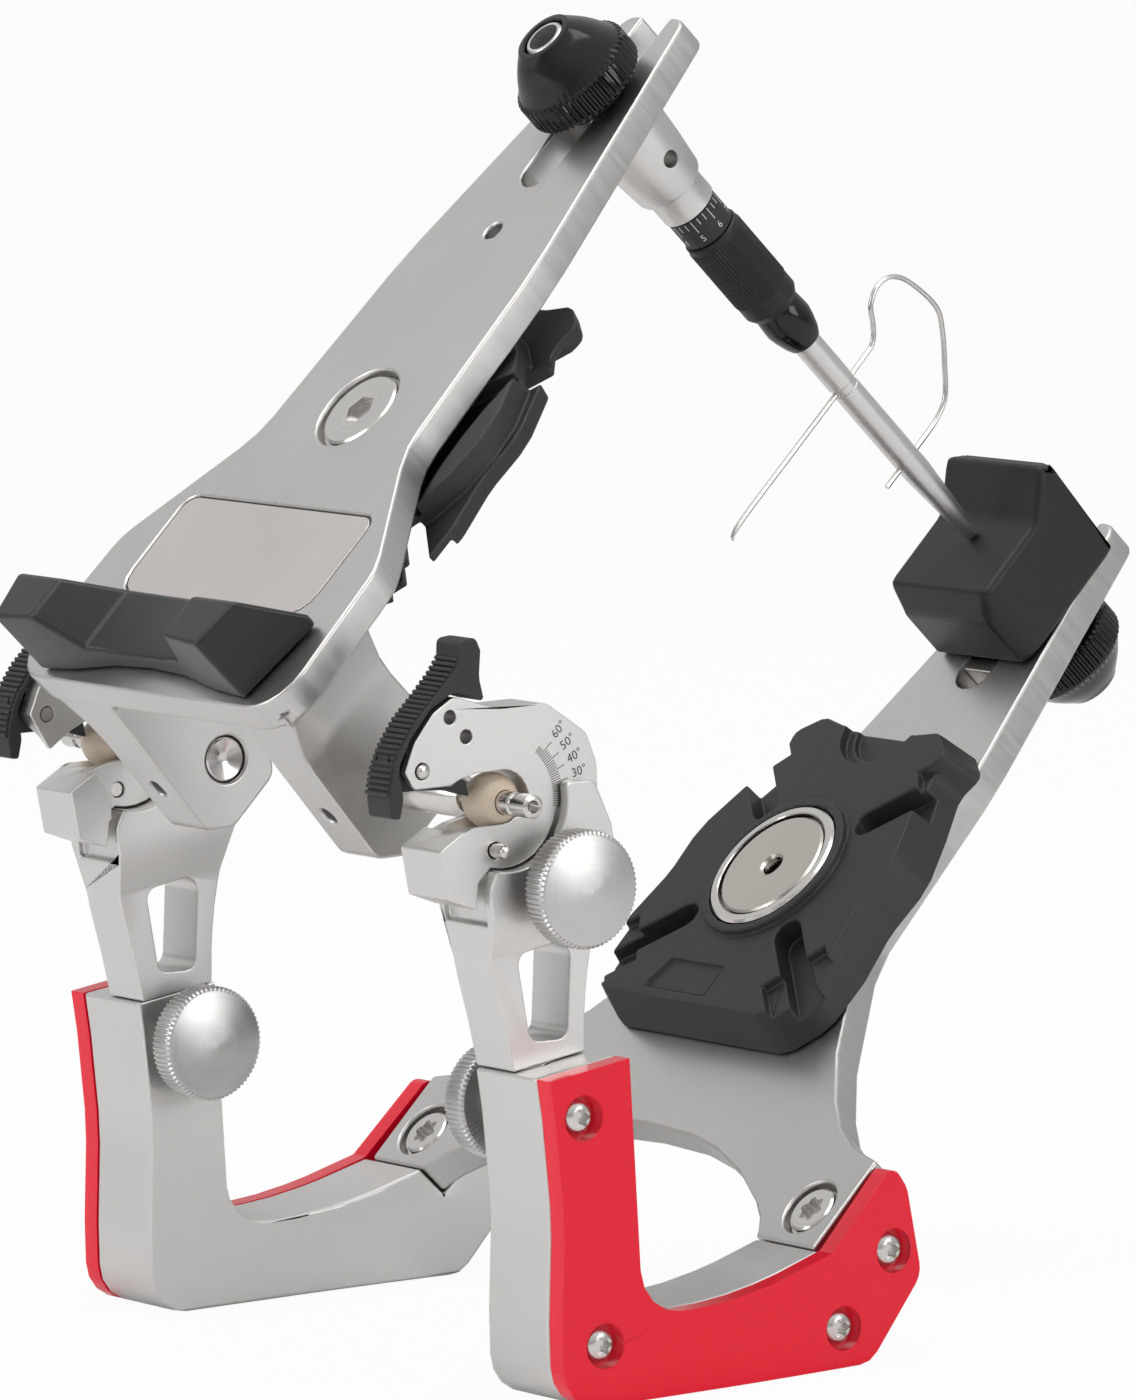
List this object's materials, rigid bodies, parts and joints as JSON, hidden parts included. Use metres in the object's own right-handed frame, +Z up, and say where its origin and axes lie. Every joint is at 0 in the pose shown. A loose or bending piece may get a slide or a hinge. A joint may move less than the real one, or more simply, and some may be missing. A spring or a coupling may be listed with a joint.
{
  "type": "dental articulator",
  "caption": "Dental articulator that opens on two condyle balls, with an incisal pin on a guide table and magnetic mounting plates, standing on its side arms.",
  "frame": {"origin": "middle of the lowest level, under the centre of the bounding box, with the articulator standing on its arms' bottom edges", "axes": "+X along the condyle axis to the right-hand arm, +Y towards the incisal pin, +Z up"},
  "size_m": [0.1394, 0.205, 0.2146],
  "materials": {
    "satin_aluminium": "bead blasted and clear anodised, satin",
    "polished_steel": "bright turned stainless steel",
    "red_cover": "high gloss red moulding",
    "black_plastic": "fine matte charcoal moulding",
    "gloss_black": "polished black",
    "cream_ball": "smooth cream ball"
  },
  "bodies": {
    "base": {"lower_frame": "satin_aluminium", "lower_mounting_plate": "black_plastic", "magnet_cup": "polished_steel", "magnet_disc": "polished_steel", "magnet_screw": "polished_steel", "arm_left": "satin_aluminium", "arm_right": "satin_aluminium", "arm_cover_left": "red_cover", "arm_cover_right": "red_cover", "leg_screw_left": "polished_steel", "leg_screw_right": "polished_steel", "cover_screw_left_1": "polished_steel", "cover_screw_left_2": "polished_steel", "cover_screw_left_3": "polished_steel", "cover_screw_left_4": "polished_steel", "cover_screw_right_1": "polished_steel", "cover_screw_right_2": "polished_steel", "cover_screw_right_3": "polished_steel", "cover_screw_right_4": "polished_steel"},
    "upper": {"upper_frame": "satin_aluminium", "name_plate": "satin_aluminium", "rest_saddle": "black_plastic", "upper_mounting_plate": "black_plastic", "centre_screw": "polished_steel", "condyle_axle_left": "polished_steel", "condyle_axle_right": "polished_steel", "condyle_ball_left": "cream_ball", "condyle_ball_right": "cream_ball"},
    "pin_holder_body": {"pin_holder": "satin_aluminium"},
    "pin_knob_body": {"pin_clamp_knob": "gloss_black"},
    "sleeve_body": {"scale_ring": "black_plastic", "pin_sleeve": "black_plastic", "collet_nut": "gloss_black"},
    "rod_body": {"incisal_rod": "satin_aluminium"},
    "pointer_body": {"wire_pointer": "polished_steel"},
    "table_body": {"incisal_table": "black_plastic", "table_key": "polished_steel"},
    "table_knob_body": {"table_clamp_knob": "gloss_black"},
    "post_body_left": {"post_left": "satin_aluminium"},
    "disc_body_left": {"condylar_disc_left": "satin_aluminium", "stop_pin_left": "polished_steel", "lever_pin_left": "polished_steel"},
    "lever_body_left": {"centric_lever_left": "black_plastic"},
    "disc_knob_body_left": {"disc_clamp_knob_left": "satin_aluminium"},
    "swivel_knob_body_left": {"swivel_clamp_knob_left": "satin_aluminium"},
    "post_body_right": {"post_right": "satin_aluminium"},
    "disc_body_right": {"condylar_disc_right": "satin_aluminium", "stop_pin_right": "polished_steel", "lever_pin_right": "polished_steel"},
    "lever_body_right": {"centric_lever_right": "black_plastic"},
    "disc_knob_body_right": {"disc_clamp_knob_right": "satin_aluminium"},
    "swivel_knob_body_right": {"swivel_clamp_knob_right": "satin_aluminium"}
  },
  "joints": [
    {"name": "frame_hinge", "type": "hinge", "parent": "base", "child": "upper", "pos_m": [0, -0.06464, 0.0958], "axis": [1, 0, 0], "range_deg": [0, 100]},
    {"name": "holder_slide", "type": "slide", "parent": "upper", "child": "pin_holder_body", "axis": [0, 0.7163, 0.6978], "range_m": [-0.012, 0.001]},
    {"name": "pin_knob_turn", "type": "hinge", "parent": "pin_holder_body", "child": "pin_knob_body", "pos_m": [0, -0.00509, 0.20407], "axis": [0, -0.6978, 0.7163], "range_deg": [0, 360]},
    {"name": "sleeve_turn", "type": "hinge", "parent": "pin_holder_body", "child": "sleeve_body", "pos_m": [0, 0.02701, 0.17112], "axis": [0, -0.6978, 0.7163], "range_deg": [0, 720]},
    {"name": "rod_lift", "type": "slide", "parent": "pin_holder_body", "child": "rod_body", "axis": [0, -0.6978, 0.7163], "range_m": [0, 0.004]},
    {"name": "pointer_slide", "type": "slide", "parent": "rod_body", "child": "pointer_body", "axis": [0, 0.7163, 0.6978], "range_m": [-0.002, 0.003]},
    {"name": "table_slide", "type": "slide", "parent": "base", "child": "table_body", "axis": [0, 0.7163, 0.6978], "range_m": [-0.001, 0.008]},
    {"name": "table_knob_turn", "type": "hinge", "parent": "table_body", "child": "table_knob_body", "pos_m": [0, 0.09328, 0.10165], "axis": [0, -0.6978, 0.7163], "range_deg": [0, 360]},
    {"name": "bennett_swivel_left", "type": "hinge", "parent": "base", "child": "post_body_left", "pos_m": [-0.055, -0.06464, 0.0958], "axis": [0, 0.1392, -0.9903], "range_deg": [0, 20]},
    {"name": "condylar_inclination_left", "type": "hinge", "parent": "post_body_left", "child": "disc_body_left", "pos_m": [-0.055, -0.06464, 0.0958], "axis": [-1, 0, 0], "range_deg": [0, 30]},
    {"name": "centric_lever_left_swing", "type": "hinge", "parent": "disc_body_left", "child": "lever_body_left", "pos_m": [-0.055, -0.07974, 0.102], "axis": [1, 0, 0], "range_deg": [0, 25]},
    {"name": "disc_knob_left_turn", "type": "hinge", "parent": "post_body_left", "child": "disc_knob_body_left", "pos_m": [-0.066, -0.05521, 0.08188], "axis": [-1, 0, 0], "range_deg": [0, 360]},
    {"name": "swivel_knob_left_turn", "type": "hinge", "parent": "base", "child": "swivel_knob_body_left", "pos_m": [-0.042, -0.05524, 0.0458], "axis": [1, 0, 0], "range_deg": [0, 360]},
    {"name": "bennett_swivel_right", "type": "hinge", "parent": "base", "child": "post_body_right", "pos_m": [0.055, -0.06464, 0.0958], "axis": [0, -0.1392, 0.9903], "range_deg": [0, 20]},
    {"name": "condylar_inclination_right", "type": "hinge", "parent": "post_body_right", "child": "disc_body_right", "pos_m": [0.055, -0.06464, 0.0958], "axis": [-1, 0, 0], "range_deg": [0, 30]},
    {"name": "centric_lever_right_swing", "type": "hinge", "parent": "disc_body_right", "child": "lever_body_right", "pos_m": [0.055, -0.07974, 0.102], "axis": [1, 0, 0], "range_deg": [0, 25]},
    {"name": "disc_knob_right_turn", "type": "hinge", "parent": "post_body_right", "child": "disc_knob_body_right", "pos_m": [0.066, -0.05521, 0.08188], "axis": [1, 0, 0], "range_deg": [0, 360]},
    {"name": "swivel_knob_right_turn", "type": "hinge", "parent": "base", "child": "swivel_knob_body_right", "pos_m": [0.042, -0.05524, 0.0458], "axis": [-1, 0, 0], "range_deg": [0, 360]}
  ],
  "couplings": [
    {"joint": "sleeve_turn", "follows": "rod_lift", "rad_per_m": 3141.6}
  ]
}
